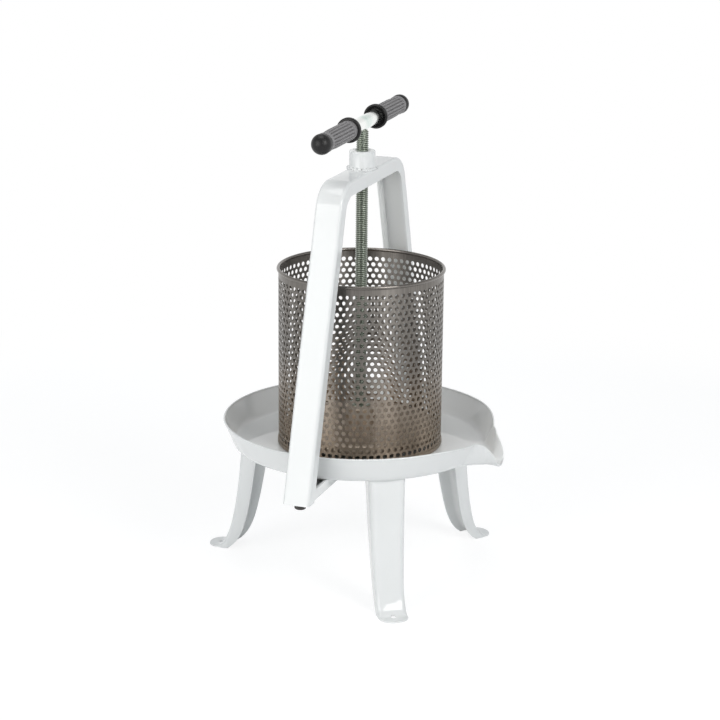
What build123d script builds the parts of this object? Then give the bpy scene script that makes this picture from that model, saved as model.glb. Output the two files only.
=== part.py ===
from build123d import *
import math
import os

# Screw fruit press. Millimetres and degrees.
# The origin is on the ground, in the middle of the length from the rear foot to the spout.
# +Z is up, the spout points along +X and the arch stands across, along Y.

# Clearances
SEAT_GAP = 0.25
RUNNING_FIT = 0.05
LOOSE_FIT = 0.3
PUSH_FIT = 0.1

# Perforated basket
BASKET_RADIUS = 107.0
BASKET_HEIGHT = 235.3
BASKET_SHEET = 1.0
BASKET_BEAD_RADIUS = 2.3
HEM_HEIGHT = 5.0
HEM_SHEET = 1.0
HOLE_DIAMETER = 6.0
HOLE_PITCH = 9.0
HOLE_STAGGER = 60.0
LOWER_BAND = 10.75
UPPER_BAND = 14.5

# Collecting pan
PAN_FLOOR_HEIGHT = 172.0
PAN_SHEET = 1.5
PAN_DEPTH = 32.0
PAN_MARGIN = 72.0
PAN_WALL_LEAN = 22.0
PAN_CORNER_RADIUS = 9.0
PAN_RIM_BEAD_RADIUS = 1.8

# Pouring spout
SPOUT_REACH = 13.0
SPOUT_ROOT_INSET = 29.0
SPOUT_ROOT_FLOOR_HALF = 24.0
SPOUT_SHOULDER_HALF = 38.0
SPOUT_TIP_FLOOR_HALF = 8.5
SPOUT_TIP_HALF = 13.5
SPOUT_TIP_DEPTH = 18.5
SPOUT_DROP = 12.0
SPOUT_ROOT_ROUND = 6.0
SPOUT_TIP_ROUND = 6.0
RIM_DIP = 6.5
RIM_DIP_LENGTH = 28.0

# Legs. The web and the flange edges curve about a knee.
FRONT_RIGHT_LEG_ANGLE = -57.5
FRONT_LEFT_LEG_ANGLE = 54.0
REAR_LEG_ANGLE = 180.0
LEG_SHEET = 2.0
LEG_TOP_INSET = 20.0
LEG_KNEE_INSET = 9.9
LEG_KNEE_HEIGHT = 66.0
FOOT_CORNER_REACH = 11.0
FOOT_BEND = 7.0
FOOT_END_REACH = 36.0
FOOT_HOLE_REACH = 20.5
FOOT_HOLE_DIAMETER = 7.0
FOOT_ROUND = 16.0
LEG_TOP_WIDTH = 46.0
LEG_FOOT_WIDTH = 38.0
LEG_TOP_DEPTH = 25.0
LEG_KNEE_DEPTH = 34.0
LEG_FOOT_DEPTH = 3.0
LEG_EDGE_ROUND = 1.6

# Arch and the crossbar under the pan
ARCH_WIDTH = 35.0
ARCH_DEPTH = 18.0
ARCH_SHEET = 3.0
ARCH_BEND = 42.0
ARCH_EDGE_ROUND = 3.4
ARCH_HEADROOM = 128.5
ARCH_SHOULDER = 7.7
ARCH_PAN_GAP = 21.6
ARCH_END_DROP = 12.5
CROSSBAR_HEIGHT = 14.5
CROSSBAR_SHEET = 3.0
CROSSBAR_EDGE_ROUND = 2.5

# Arch fastening
LUG_THICKNESS = 6.0
LUG_LENGTH = 15.0
BOLT_DIAMETER = 8.0
BOLT_HEAD_FLATS = 13.0
BOLT_HEAD_HEIGHT = 5.3
BOLT_HOLE_CLEARANCE = 0.5
BOLT_WASHER_DIAMETER = 16.0
BOLT_WASHER_THICKNESS = 1.6

# Screw and its nut
SCREW_DIAMETER = 16.0
NUT_DIAMETER = 33.6
NUT_HEIGHT = 23.5
NUT_CHAMFER = 1.2
NUT_WELD = 3.5
ARCH_SCREW_CLEARANCE = 1.0
JOURNAL_DIAMETER = 12.0
HANDLE_STAND = 34.5
SPIGOT_DIAMETER = 10.0
SPIGOT_LENGTH = 6.0

# Press platen
PLATEN_REST = 12.0
PLATEN_CLEARANCE = 2.2
PLATEN_SHEET = 3.0
PLATEN_DEPTH = 12.0
PLATEN_ROUND = 6.0
SOCKET_DIAMETER = 40.0
SOCKET_HEIGHT = 26.0
SOCKET_CHAMFER = 4.0
THRUST_WASHER_DIAMETER = 30.0
THRUST_WASHER_THICKNESS = 2.0
RETAINING_WASHER_DIAMETER = 26.0
RETAINING_WASHER_THICKNESS = 1.6
RETAINING_RING_DIAMETER = 18.0
RETAINING_RING_THICKNESS = 1.2
RETAINING_RING_GAP = 7.0
RING_GROOVE_DEPTH = 0.8
JOURNAL_END_LENGTH = 1.5

# Handle
HANDLE_TURN = 1.5
BAR_DIAMETER = 18.0
FLANGE_PLACE = 52.0
FLANGE_DIAMETER = 31.0
FLANGE_THICKNESS = 6.0
FLANGE_ROUND = 2.0
GRIP_DIAMETER = 23.6
GRIP_LENGTH = 92.0
GRIP_GROOVES = 18
GROOVE_WIDTH = 1.6
GROOVE_DEPTH = 0.8
GROOVE_END_BAND = 9.0
CAP_DIAMETER = 24.0
CAP_DISTANCE = 8.0

# Levels and radii that follow from the sizes above
pan_underside = PAN_FLOOR_HEIGHT - PAN_SHEET
pan_rim_radius = BASKET_RADIUS + PAN_MARGIN
pan_rim_height = PAN_FLOOR_HEIGHT + PAN_DEPTH
pan_slope = math.tan(math.radians(PAN_WALL_LEAN))
foot_end = pan_rim_radius + FOOT_END_REACH
spout_tip = pan_rim_radius + SPOUT_REACH
screw_place = (foot_end - spout_tip) / 2
basket_foot = PAN_FLOOR_HEIGHT + SEAT_GAP
basket_top = basket_foot + BASKET_HEIGHT
basket_inner_radius = BASKET_RADIUS - BASKET_SHEET
basket_sides = round(2 * math.pi * BASKET_RADIUS / HOLE_PITCH)
arch_top = basket_top + ARCH_HEADROOM
arch_end = pan_underside - ARCH_END_DROP
nut_top = arch_top + NUT_HEIGHT
bar_height = nut_top + HANDLE_STAND
bar_end = FLANGE_PLACE + FLANGE_THICKNESS + GRIP_LENGTH
spigot_top = bar_height - BAR_DIAMETER / 2 + SPIGOT_LENGTH
screw_radius = SCREW_DIAMETER / 2
journal_radius = JOURNAL_DIAMETER / 2
platen_edge = PAN_FLOOR_HEIGHT + PLATEN_REST
platen_top = platen_edge + PLATEN_DEPTH
socket_top = platen_top + SOCKET_HEIGHT
screw_shoulder = socket_top + THRUST_WASHER_THICKNESS

# The arch leg leans from beside the pan rim to its corner above the basket
arch_rim_half = pan_rim_radius + ARCH_PAN_GAP + ARCH_DEPTH
arch_corner_half = BASKET_RADIUS + ARCH_SHOULDER
arch_slope = (arch_rim_half - arch_corner_half) / (arch_top - pan_rim_height)
arch_stretch = math.hypot(1, arch_slope)


def save(part, name):
    """Write a piece, made about the screw axis, at its place from the origin."""
    placed = Pos(screw_place, 0, 0) * part
    placed.label = name
    export_step(placed, f"parts/{name}.step")


def filled(points):
    return make_face(Polyline(*points, close=True))


def corner_near(sketch, point):
    return sketch.vertices().sort_by_distance(point)[0]


def turned(points):
    """Solid of revolution about Z from (radius, height) points."""
    return revolve(Plane.XZ * filled(points), Axis.Z)


def ring(outer_radius, inner_radius, low, high):
    return Pos(0, 0, low) * extrude(Circle(outer_radius) - Circle(inner_radius), high - low)


def rod(radius, low, high):
    return Pos(0, 0, low) * extrude(Circle(radius), high - low)


def pan_bowl(wall_foot, floor, corner_radius, top):
    """Round bowl with leaning walls, filled to the height top."""
    points = [
        (0, floor),
        (wall_foot, floor),
        (wall_foot + (top - floor) * pan_slope, top),
        (0, top),
    ]
    section = filled(points)
    section = fillet(corner_near(section, (wall_foot, floor)), corner_radius)
    return revolve(Plane.XZ * section, Axis.Z)


def spout_section(place, low, high, low_half, high_half, corner_round):
    """Trapezium across the spout, with rounded lower corners."""
    points = [(-low_half, low), (low_half, low), (high_half, high), (-high_half, high)]
    section = filled(points)
    section = fillet(section.vertices().sort_by(Axis.Y)[:2], corner_round)
    return Plane.YZ.offset(place) * section


def spout_body(inset, beyond):
    """Spout from its root in the pan, drawn in by inset, taller than the lip, past the tip by beyond."""
    root = pan_rim_radius - SPOUT_ROOT_INSET
    length = spout_tip - root
    high = pan_rim_height + PAN_DEPTH
    tip_low = pan_underside - SPOUT_DROP
    tip_slope = (SPOUT_TIP_HALF - SPOUT_TIP_FLOOR_HALF) / SPOUT_TIP_DEPTH
    tip_high_half = SPOUT_TIP_FLOOR_HALF + (high - tip_low) * tip_slope

    # The root is as wide as the straight sides need to be to pass the shoulders
    share = (shoulder_place() - root) / length
    low_there = pan_underside - SPOUT_DROP * share
    half_there = SPOUT_ROOT_FLOOR_HALF + (SPOUT_TIP_FLOOR_HALF - SPOUT_ROOT_FLOOR_HALF) * share
    rise = (pan_rim_height - RIM_DIP - low_there) / (high - low_there)
    high_half_there = half_there + (SPOUT_SHOULDER_HALF - half_there) / rise
    root_high_half = (high_half_there - tip_high_half * share) / (1 - share)

    floor_narrowing = (SPOUT_ROOT_FLOOR_HALF - SPOUT_TIP_FLOOR_HALF) / length
    top_narrowing = (root_high_half - tip_high_half) / length
    side_slope = (root_high_half - SPOUT_ROOT_FLOOR_HALF) / (high - pan_underside)
    floor_slope = SPOUT_DROP / length
    side_inset = inset * math.hypot(1, top_narrowing, side_slope)
    floor_inset = inset * math.hypot(1, floor_slope)
    root_section = spout_section(
        root,
        pan_underside + floor_inset,
        high + inset,
        SPOUT_ROOT_FLOOR_HALF - inset,
        root_high_half - side_inset,
        SPOUT_ROOT_ROUND - inset,
    )
    tip_section = spout_section(
        spout_tip + beyond,
        tip_low - beyond * floor_slope + floor_inset,
        high + inset,
        SPOUT_TIP_FLOOR_HALF - inset - beyond * floor_narrowing,
        tip_high_half - side_inset - beyond * top_narrowing,
        SPOUT_TIP_ROUND - inset,
    )
    return loft([root_section, tip_section], ruled=True)


def shoulder_place():
    """Distance from the screw axis at which the lip leaves the round rim."""
    return math.sqrt(pan_rim_radius**2 - SPOUT_SHOULDER_HALF**2)


def above_lip():
    """Block over the pan: its underside dips along the rim and then falls to the spout's tip."""
    far = 2 * spout_tip
    high = pan_rim_height + 3 * PAN_DEPTH
    tip_high = pan_underside - SPOUT_DROP + SPOUT_TIP_DEPTH
    shoulder = shoulder_place()
    points = [
        (-far, high),
        (-far, pan_rim_height),
        (shoulder - RIM_DIP_LENGTH, pan_rim_height),
        (shoulder, pan_rim_height - RIM_DIP),
        (spout_tip, tip_high),
        (far, tip_high),
        (far, high),
    ]
    return extrude(Plane.XZ * filled(points), far, both=True)


def make_pan():
    lean_sheet = PAN_SHEET * math.hypot(1, pan_slope)
    outer_foot = pan_rim_radius - (PAN_DEPTH + PAN_SHEET) * pan_slope
    inner_foot = pan_rim_radius - lean_sheet - PAN_DEPTH * pan_slope
    above_rim = pan_rim_height + PAN_DEPTH
    outer = pan_bowl(outer_foot, pan_underside, PAN_CORNER_RADIUS + PAN_SHEET, above_rim)
    inner = pan_bowl(inner_foot, PAN_FLOOR_HEIGHT, PAN_CORNER_RADIUS, above_rim)
    sheet = (outer + spout_body(0, 0)) - inner - spout_body(PAN_SHEET, PAN_SHEET) - above_lip()

    bead = Pos(0, 0, pan_rim_height) * Torus(pan_rim_radius - lean_sheet / 2, PAN_RIM_BEAD_RADIUS)
    bead_gap = Pos(shoulder_place() - RIM_DIP_LENGTH, 0, pan_rim_height) * Box(
        pan_rim_radius, 2 * pan_rim_radius, PAN_DEPTH, align=(Align.MIN, Align.CENTER, Align.CENTER)
    )
    return sheet + (bead - bead_gap)


def leg_curve(top_place, knee_place, foot_place, foot_height):
    """Smooth line down a leg, from the pan past the knee to the foot."""
    knee = (knee_place, LEG_KNEE_HEIGHT)
    return Bezier((top_place, pan_underside), knee, (foot_place, foot_height))


def leg_taper(inset, high):
    """Block that narrows from the pan to the foot, inset from the leg's sides, up to the height high."""
    foot_half = LEG_FOOT_WIDTH / 2 - inset
    grow = (LEG_TOP_WIDTH - LEG_FOOT_WIDTH) / 2 / pan_underside
    low = -2 * LEG_SHEET
    points = [
        (-foot_half - low * grow, low),
        (foot_half + low * grow, low),
        (foot_half + high * grow, high),
        (-foot_half - high * grow, high),
    ]
    return extrude(Plane.YZ * filled(points), 2 * foot_end)


def is_web_edge(edge, knee):
    """True for the edges that run down both sides of the web."""
    middle = edge.center()
    on_web = middle.X > knee - LEG_KNEE_DEPTH / 2 and middle.Z > 1.2 * LEG_SHEET
    return on_web and abs(middle.Y) > LEG_FOOT_WIDTH / 4


def make_leg(angle):
    """Pressed channel, open towards the screw axis, with a turned-out foot."""
    top = pan_underside
    web_top = pan_rim_radius - LEG_TOP_INSET
    knee = pan_rim_radius - LEG_KNEE_INSET
    foot_corner = pan_rim_radius + FOOT_CORNER_REACH
    heel = foot_corner - LEG_FOOT_DEPTH
    flange_top = web_top - LEG_TOP_DEPTH
    outline = leg_curve(web_top, knee, foot_corner, LEG_SHEET)
    outline += Polyline((foot_corner, LEG_SHEET), (foot_end, LEG_SHEET), (foot_end, 0), (heel, 0))
    outline += leg_curve(flange_top, knee - LEG_KNEE_DEPTH, heel, 0)
    outline += Line((flange_top, top), (web_top, top))
    profile = make_face(outline)
    profile = fillet(corner_near(profile, (foot_corner, LEG_SHEET)), FOOT_BEND)
    body = extrude(Plane.XZ * profile, LEG_TOP_WIDTH, both=True) & leg_taper(0, top)
    tip_edges = body.edges().filter_by_position(Axis.X, foot_end - LEG_SHEET, foot_end + LEG_SHEET)
    tip_corners = tip_edges.filter_by(lambda edge: abs(edge.center().Y) > LEG_FOOT_WIDTH / 4)
    body = fillet(tip_corners.filter_by(lambda edge: edge.length < 2 * LEG_SHEET), FOOT_ROUND)
    web_edges = body.edges().filter_by(lambda edge: is_web_edge(edge, knee))
    body = fillet(web_edges, LEG_EDGE_ROUND)

    # The hollow between the flanges is the web drawn in by the sheet
    lower_slope = (foot_corner - knee) / (LEG_KNEE_HEIGHT - LEG_SHEET)
    inset = LEG_SHEET * math.hypot(1, lower_slope)
    hollow_foot = foot_corner - inset
    hollow = leg_curve(web_top - inset, knee - inset, hollow_foot, LEG_SHEET)
    hollow += Polyline(
        (hollow_foot, LEG_SHEET),
        (hollow_foot + 2 * LEG_SHEET * lower_slope, -LEG_SHEET),
        (0, -LEG_SHEET),
        (0, top),
        (web_top - inset, top),
    )
    space = extrude(Plane.XZ * make_face(hollow), LEG_TOP_WIDTH, both=True)
    leg = body - (space & leg_taper(LEG_SHEET, top - LEG_SHEET))
    leg -= Pos(pan_rim_radius + FOOT_HOLE_REACH, 0, 0) * Cylinder(FOOT_HOLE_DIAMETER / 2, 4 * LEG_SHEET)
    return Rot(0, 0, angle) * leg


def arch_outline(inset, low):
    """Arch shape in the YZ plane, drawn in by inset, with its legs cut at the height low."""
    top = arch_top - inset
    corner = arch_corner_half - inset * arch_stretch + inset * arch_slope
    foot = corner + (top - low) * arch_slope
    outline = filled([(-foot, low), (-corner, top), (corner, top), (foot, low)])
    return fillet(outline.vertices().sort_by(Axis.Y)[-2:], ARCH_BEND - inset)


def arch_half_width(height):
    """Half-width of the arch over its outer faces at a height."""
    return arch_corner_half + (arch_top - height) * arch_slope


def make_arch():
    below = arch_end - ARCH_DEPTH
    outer = extrude(Plane.YZ * arch_outline(0, arch_end), ARCH_WIDTH / 2, both=True)
    side_edges = outer.edges().filter_by_position(Axis.X, ARCH_WIDTH / 2, ARCH_WIDTH / 2)
    side_edges += outer.edges().filter_by_position(Axis.X, -ARCH_WIDTH / 2, -ARCH_WIDTH / 2)
    long_edges = side_edges.filter_by(lambda edge: edge.center().Z > arch_end + ARCH_DEPTH)
    outer = fillet(long_edges, ARCH_EDGE_ROUND)
    hollow = extrude(Plane.YZ * arch_outline(ARCH_SHEET, below), ARCH_WIDTH / 2 - ARCH_SHEET, both=True)
    span = extrude(Plane.YZ * arch_outline(ARCH_DEPTH, below), ARCH_WIDTH, both=True)
    screw_hole = Pos(0, 0, arch_top) * Cylinder(screw_radius + ARCH_SCREW_CLEARANCE, 4 * ARCH_SHEET)
    return outer - hollow - span - screw_hole


def lug_place():
    """Distance of the lug's and the bolt's centre from the screw axis."""
    web = arch_half_width(pan_underside + LUG_THICKNESS) - ARCH_SHEET * arch_stretch
    return web - SEAT_GAP - LUG_LENGTH / 2


def bolt_hole(centre_height, length):
    return Pos(0, 0, centre_height) * Cylinder(BOLT_DIAMETER / 2 + BOLT_HOLE_CLEARANCE, length)


def make_crossbar():
    half_length = arch_half_width(pan_underside) - ARCH_SHEET * arch_stretch - LOOSE_FIT
    width = ARCH_WIDTH - 2 * ARCH_SHEET - 2 * LOOSE_FIT
    low = pan_underside - CROSSBAR_HEIGHT
    bar = Pos(0, 0, low) * Box(
        width, 2 * half_length, CROSSBAR_HEIGHT, align=(Align.CENTER, Align.CENTER, Align.MIN)
    )
    bar = fillet(bar.edges().filter_by(Axis.Y).group_by(Axis.Z)[0], CROSSBAR_EDGE_ROUND)
    hollow = Box(width - 2 * CROSSBAR_SHEET, 3 * half_length, 2 * (CROSSBAR_HEIGHT - CROSSBAR_SHEET))
    bar -= Pos(0, 0, pan_underside) * hollow
    for side in (-1, 1):
        bar -= Pos(0, side * lug_place(), 0) * bolt_hole(low, 4 * CROSSBAR_SHEET)
    return bar


def pair_along_y(make_one):
    return Compound([Pos(0, side * lug_place(), 0) * make_one() for side in (-1, 1)])


def make_lug():
    lug = Pos(0, 0, pan_underside) * Box(
        ARCH_WIDTH - 2 * ARCH_SHEET, LUG_LENGTH, LUG_THICKNESS, align=(Align.CENTER, Align.CENTER, Align.MIN)
    )
    return lug - Pos(0, 0, pan_underside) * Cylinder(BOLT_DIAMETER / 2 + RUNNING_FIT, 4 * LUG_THICKNESS)


def make_bolt():
    head_top = pan_underside - CROSSBAR_HEIGHT - BOLT_WASHER_THICKNESS
    head = Pos(0, 0, head_top - BOLT_HEAD_HEIGHT) * extrude(
        RegularPolygon(BOLT_HEAD_FLATS / 2, 6, major_radius=False), BOLT_HEAD_HEIGHT
    )
    shank_length = pan_underside + LUG_THICKNESS - head_top
    shank = Pos(0, 0, head_top) * Cylinder(
        BOLT_DIAMETER / 2, shank_length, align=(Align.CENTER, Align.CENTER, Align.MIN)
    )
    return head + shank


def make_bolt_washer():
    seat = pan_underside - CROSSBAR_HEIGHT
    bore = BOLT_DIAMETER / 2 + BOLT_HOLE_CLEARANCE
    return ring(BOLT_WASHER_DIAMETER / 2, bore, seat - BOLT_WASHER_THICKNESS, seat)


def make_screw_nut():
    outer = NUT_DIAMETER / 2
    bore = screw_radius + RUNNING_FIT
    return turned(
        [
            (bore, arch_top),
            (outer + NUT_WELD, arch_top),
            (outer, arch_top + NUT_WELD),
            (outer, nut_top - NUT_CHAMFER),
            (outer - NUT_CHAMFER, nut_top),
            (bore, nut_top),
        ]
    )


def many_sided_tube(outer_radius, inner_radius, height):
    outer = RegularPolygon(outer_radius, basket_sides, major_radius=False)
    inner = RegularPolygon(inner_radius, basket_sides, major_radius=False)
    return extrude(outer - inner, height)


def make_basket_wall():
    """Rolled sheet in flat facets, one to each hole of a row, with staggered rows of holes."""
    row_pitch = 2 * math.pi * BASKET_RADIUS / basket_sides * math.sin(math.radians(HOLE_STAGGER))
    rows = int((BASKET_HEIGHT - LOWER_BAND - UPPER_BAND) / row_pitch) + 1
    height = BASKET_HEIGHT - BASKET_BEAD_RADIUS - PUSH_FIT
    wall = many_sided_tube(BASKET_RADIUS, basket_inner_radius, height)
    wall += many_sided_tube(BASKET_RADIUS + HEM_SHEET, basket_inner_radius, HEM_HEIGHT)
    facet = wall.faces().sort_by(Axis.X)[-1].center()
    first_angle = math.degrees(math.atan2(facet.Y, facet.X))
    punches = []
    for row in range(rows):
        for hole in range(basket_sides):
            angle = first_angle + (hole + row % 2 / 2) * 360 / basket_sides
            place = Pos(0, 0, LOWER_BAND + row * row_pitch) * Rot(0, 0, angle) * Pos(BASKET_RADIUS, 0, 0)
            punches.append(place * Rot(0, 90, 0) * Cylinder(HOLE_DIAMETER / 2, 8 * BASKET_SHEET))
    return Pos(0, 0, basket_foot) * (wall - punches)


def make_basket_rim():
    """Bead rolled round the upper edge of the basket wall, which stands in its groove."""
    centre = basket_top - BASKET_BEAD_RADIUS
    bead = Pos(0, 0, centre) * Torus(BASKET_RADIUS, BASKET_BEAD_RADIUS)
    wall_corner = BASKET_RADIUS / math.cos(math.pi / basket_sides)
    groove = ring(
        wall_corner + PUSH_FIT, basket_inner_radius - PUSH_FIT, centre - 2 * BASKET_BEAD_RADIUS, centre
    )
    return bead - groove


def make_platen_plate():
    """Pressed dish with its rim turned down."""
    radius = basket_inner_radius - PLATEN_CLEARANCE
    outer = Pos(0, 0, platen_edge) * Cylinder(
        radius, PLATEN_DEPTH, align=(Align.CENTER, Align.CENTER, Align.MIN)
    )
    outer = fillet(outer.edges().sort_by(Axis.Z)[-1], PLATEN_ROUND)
    inner_depth = PLATEN_DEPTH - PLATEN_SHEET
    inner = Pos(0, 0, platen_edge) * Cylinder(
        radius - PLATEN_SHEET, inner_depth, align=(Align.CENTER, Align.CENTER, Align.MIN)
    )
    inner = fillet(inner.edges().sort_by(Axis.Z)[-1], PLATEN_ROUND - PLATEN_SHEET)
    bore = Pos(0, 0, platen_top) * Cylinder(journal_radius + LOOSE_FIT, 4 * PLATEN_SHEET)
    return outer - inner - bore


def make_platen_socket():
    outer = SOCKET_DIAMETER / 2
    bore = journal_radius + RUNNING_FIT
    return turned(
        [
            (bore, platen_top),
            (outer, platen_top),
            (outer, socket_top - SOCKET_CHAMFER),
            (outer - SOCKET_CHAMFER, socket_top),
            (bore, socket_top),
        ]
    )


def make_thrust_washer():
    return ring(THRUST_WASHER_DIAMETER / 2, journal_radius + LOOSE_FIT, socket_top, screw_shoulder)


def retaining_levels():
    """Heights under the platen: ring foot, washer foot and washer top."""
    washer_top = platen_top - PLATEN_SHEET - SEAT_GAP
    washer_foot = washer_top - RETAINING_WASHER_THICKNESS
    ring_foot = washer_foot - RETAINING_RING_THICKNESS
    return ring_foot, washer_foot, washer_top


def along_bar(distance):
    """Place on the handle bar's axis, at a distance from the screw axis."""
    return Pos(0, 0, bar_height) * Rot(0, 0, HANDLE_TURN) * Rot(-90, 0, 0) * Pos(0, 0, distance)


def bar_cylinder(radius, start, end):
    """Cylinder along the handle bar between two places measured from the screw axis."""
    return along_bar((start + end) / 2) * Cylinder(radius, end - start)


def bar_bore(start, end):
    """Bore for the handle bar, longer than the piece from start to end."""
    return bar_cylinder(BAR_DIAMETER / 2 + PUSH_FIT, start - BAR_DIAMETER, end + BAR_DIAMETER)


def make_screw():
    ring_foot, _, _ = retaining_levels()
    journal_end = ring_foot - JOURNAL_END_LENGTH
    thread = rod(screw_radius, screw_shoulder, bar_height)
    thread -= bar_cylinder(BAR_DIAMETER / 2, -BAR_DIAMETER, BAR_DIAMETER)
    spigot = rod(SPIGOT_DIAMETER / 2, screw_shoulder, spigot_top)
    journal = rod(journal_radius, journal_end, screw_shoulder)
    groove = ring(
        JOURNAL_DIAMETER, journal_radius - RING_GROOVE_DEPTH, ring_foot, ring_foot + RETAINING_RING_THICKNESS
    )
    return thread + spigot + (journal - groove)


def make_retaining_washer():
    _, washer_foot, washer_top = retaining_levels()
    return ring(RETAINING_WASHER_DIAMETER / 2, journal_radius + RUNNING_FIT, washer_foot, washer_top)


def make_retaining_ring():
    ring_foot, washer_foot, _ = retaining_levels()
    bore = journal_radius - RING_GROOVE_DEPTH
    clip = ring(RETAINING_RING_DIAMETER / 2, bore, ring_foot, washer_foot)
    opening = Box(RETAINING_RING_DIAMETER, RETAINING_RING_GAP, 4 * RETAINING_RING_THICKNESS)
    return clip - Pos(RETAINING_RING_DIAMETER / 2, 0, ring_foot) * opening


def make_handle_bar():
    bar = bar_cylinder(BAR_DIAMETER / 2, -bar_end, bar_end)
    return bar - rod(SPIGOT_DIAMETER / 2, bar_height - BAR_DIAMETER, spigot_top)


def on_side(side, piece):
    """Place a grip piece, made for the +Y end of the bar, at the end named by side."""
    return piece if side > 0 else Rot(0, 0, 180) * piece


def make_grip_flange(side):
    start = FLANGE_PLACE
    end = start + FLANGE_THICKNESS
    disc = bar_cylinder(FLANGE_DIAMETER / 2, start, end)
    disc = fillet(disc.edges().filter_by(GeomType.CIRCLE), FLANGE_ROUND)
    return on_side(side, disc - bar_bore(start, end))


def make_grip_sleeve(side):
    """Moulded sleeve with lengthwise grooves between plain end bands."""
    start = FLANGE_PLACE + FLANGE_THICKNESS
    sleeve = bar_cylinder(GRIP_DIAMETER / 2, start, bar_end) - bar_bore(start, bar_end)
    middle = along_bar((start + bar_end) / 2)
    groove = Box(2 * GROOVE_DEPTH, GROOVE_WIDTH, GRIP_LENGTH - 2 * GROOVE_END_BAND)
    grooves = []
    for index in range(GRIP_GROOVES):
        round_bar = Rot(0, 0, index * 360 / GRIP_GROOVES) * Pos(GRIP_DIAMETER / 2, 0, 0)
        grooves.append(middle * round_bar * groove)
    return on_side(side, sleeve - grooves)


def make_grip_cap(side):
    ball = along_bar(bar_end + CAP_DISTANCE) * Sphere(CAP_DIAMETER / 2)
    return on_side(side, ball - bar_cylinder(CAP_DIAMETER, 0, bar_end))


os.makedirs("parts", exist_ok=True)

save(make_pan(), "pan")
save(make_leg(FRONT_RIGHT_LEG_ANGLE), "leg_front_right")
save(make_leg(FRONT_LEFT_LEG_ANGLE), "leg_front_left")
save(make_leg(REAR_LEG_ANGLE), "leg_rear")
save(make_crossbar(), "crossbar")
save(make_arch(), "arch")
save(pair_along_y(make_lug), "arch_lugs")
save(pair_along_y(make_bolt), "arch_bolts")
save(pair_along_y(make_bolt_washer), "arch_washers")
save(make_screw_nut(), "screw_nut")
save(make_basket_wall(), "basket_wall")
save(make_basket_rim(), "basket_rim")
save(make_platen_plate(), "platen_plate")
save(make_platen_socket(), "platen_socket")
save(make_thrust_washer(), "thrust_washer")
save(make_screw(), "screw")
save(make_handle_bar(), "handle_bar")
for side, end_name in ((-1, "right"), (1, "left")):
    save(make_grip_sleeve(side), f"grip_sleeve_{end_name}")
    save(make_grip_flange(side), f"grip_flange_{end_name}")
    save(make_grip_cap(side), f"grip_cap_{end_name}")
save(make_retaining_washer(), "retaining_washer")
save(make_retaining_ring(), "retaining_ring")
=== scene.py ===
# %% [markdown]
# # Dressing a screw fruit press
# In this small table press a perforated basket stands in a round white pan, a bent steel arch goes over
# it, and a screw with a crossbar handle comes down through the arch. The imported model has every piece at
# its real size. We keep it as a fixed frame, give its pieces their finishes, and rebuild those whose
# fine shape shows most.

# %% Load the frame
from contextlib import contextmanager
from math import cos, degrees, hypot, pi, radians, sin, sqrt, tan, tau

import bmesh
import bpy
from mathutils import Matrix, Vector


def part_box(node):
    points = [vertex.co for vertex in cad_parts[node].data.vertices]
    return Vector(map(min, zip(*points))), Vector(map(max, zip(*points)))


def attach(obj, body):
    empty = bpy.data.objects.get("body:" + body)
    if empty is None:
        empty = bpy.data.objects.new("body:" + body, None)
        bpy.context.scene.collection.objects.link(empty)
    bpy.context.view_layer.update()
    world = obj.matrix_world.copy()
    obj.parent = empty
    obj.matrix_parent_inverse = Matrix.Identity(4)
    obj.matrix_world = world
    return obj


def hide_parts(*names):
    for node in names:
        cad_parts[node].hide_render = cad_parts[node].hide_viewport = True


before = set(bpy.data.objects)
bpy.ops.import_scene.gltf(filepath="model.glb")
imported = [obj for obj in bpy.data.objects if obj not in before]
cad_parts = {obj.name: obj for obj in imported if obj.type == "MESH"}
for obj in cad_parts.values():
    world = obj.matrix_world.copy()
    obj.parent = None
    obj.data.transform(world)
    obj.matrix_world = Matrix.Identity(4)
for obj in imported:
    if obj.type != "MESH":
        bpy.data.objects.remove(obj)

MM = 0.001
scene = bpy.context.scene
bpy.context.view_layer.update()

# %% [markdown]
# ## Measures from the frame
# A rebuilt piece has to stand where its solid stands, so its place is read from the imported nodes. All
# round pieces of the press share the axis of the screw.

# %% Measures


def corners(node):
    low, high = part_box(node)
    return Vector(low), Vector(high)


def heights(node):
    """Lower and upper end of a solid, in metres."""
    low, high = corners(node)
    return low.z, high.z


axis = sum(corners("screw_nut"), Vector()) / 2
axis.z = 0
bar_height = sum(heights("handle_bar")) / 2
print("screw axis x", round(axis.x, 4), "bar height", round(bar_height, 4))

# %% [markdown]
# ## The camera
# The view was found by matching the rims of basket and pan, which look like ellipses, to the model. A
# long lens stands about three metres away, a little to the spout's side. It is turned about the upright
# axis, tipped down and rolled a little.

# %% Camera
CAMERA_AZIMUTH = radians(19.555)
CAMERA_PITCH = radians(16.117)
CAMERA_ROLL = radians(0.518)
CAMERA_PLACE = Vector((0.9196, -2.5582, 1.0660))
CAMERA_REACH = 60
SENSOR = 36.0
FOCAL_SHARE = 3.00253


def put(name, data):
    """A new object in the scene."""
    thing = bpy.data.objects.new(name, data)
    scene.collection.objects.link(thing)
    return thing


lens = bpy.data.cameras.new("camera")
lens.sensor_width = SENSOR
lens.lens = SENSOR * FOCAL_SHARE
lens.clip_end = CAMERA_REACH
camera = put("camera", lens)
aim = Matrix.Rotation(CAMERA_AZIMUTH, 4, "Z") @ Matrix.Rotation(pi / 2 - CAMERA_PITCH, 4, "X")
camera.matrix_world = Matrix.Translation(CAMERA_PLACE) @ aim @ Matrix.Rotation(CAMERA_ROLL, 4, "Z")
scene.camera = camera
print("lens", round(lens.lens, 2), "mm")

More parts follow.
